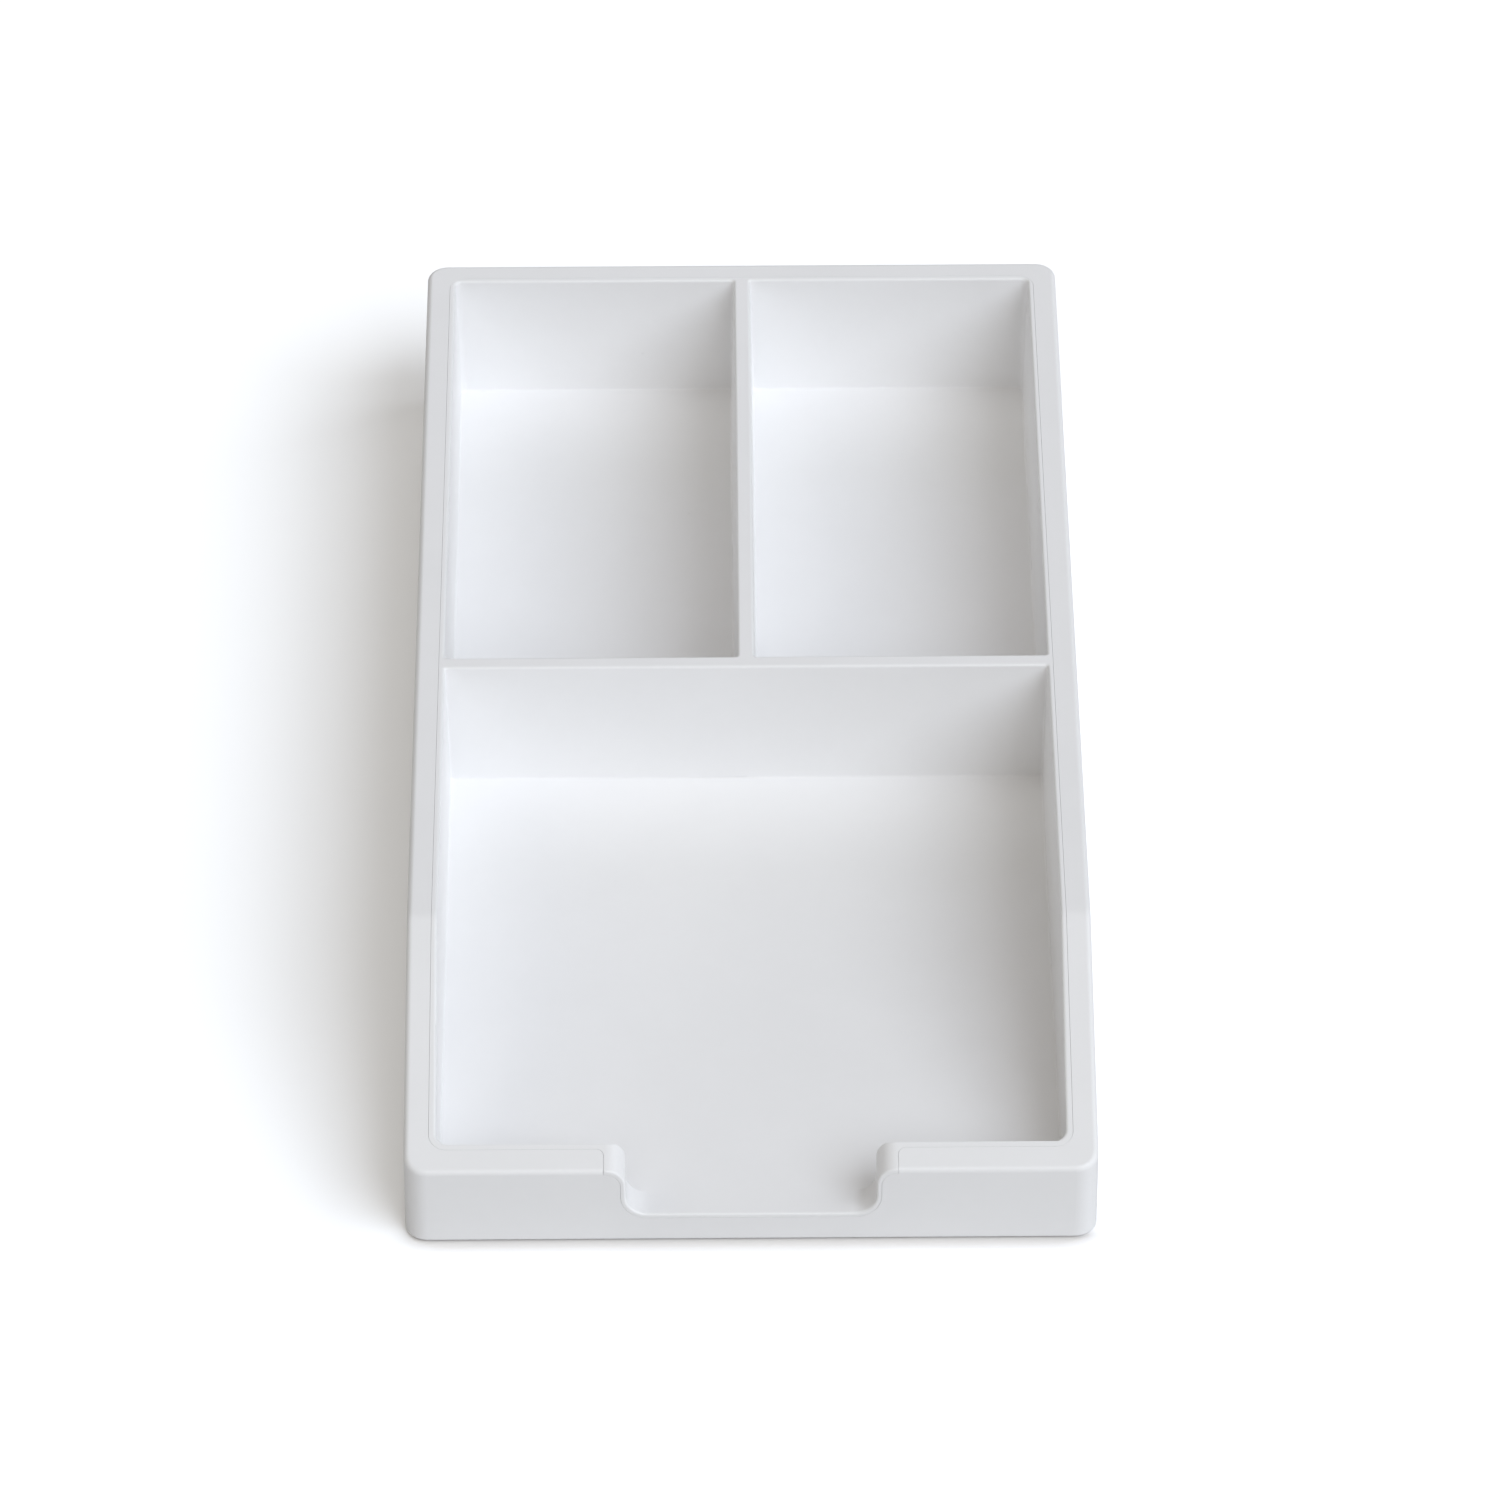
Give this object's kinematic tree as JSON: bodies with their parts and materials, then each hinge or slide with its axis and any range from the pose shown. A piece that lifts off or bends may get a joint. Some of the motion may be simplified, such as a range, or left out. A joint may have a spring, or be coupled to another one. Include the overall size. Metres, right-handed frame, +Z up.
{
  "type": "pill counting tray",
  "caption": "Shallow moulded tray with side-by-side rear bins, a wide front bin, a rim that slopes down at the front and a scooped pouring notch.",
  "frame": {"origin": "centre of the tray's footprint, on the table under the feet", "axes": "+Z up, +Y from the pouring notch to the back, +X to the right seen from the notch"},
  "size_m": [0.14, 0.28, 0.0375],
  "materials": {
    "shell_white": "satin moulded white plastic with a fine grain",
    "liner_white": "smooth satin moulded white plastic",
    "base_white": "matt moulded white plastic",
    "foot_rubber": "matt grey non-slip rubber",
    "screw_steel": "zinc-plated steel"
  },
  "bodies": {
    "root": {"outer_shell": "shell_white", "inner_tray": "liner_white", "base_plate": "base_white", "foot_front_left": "foot_rubber", "foot_front_right": "foot_rubber", "foot_rear_left": "foot_rubber", "foot_rear_right": "foot_rubber", "base_screw_1": "screw_steel", "base_screw_2": "screw_steel", "base_screw_3": "screw_steel", "base_screw_4": "screw_steel"}
  },
  "joints": []
}
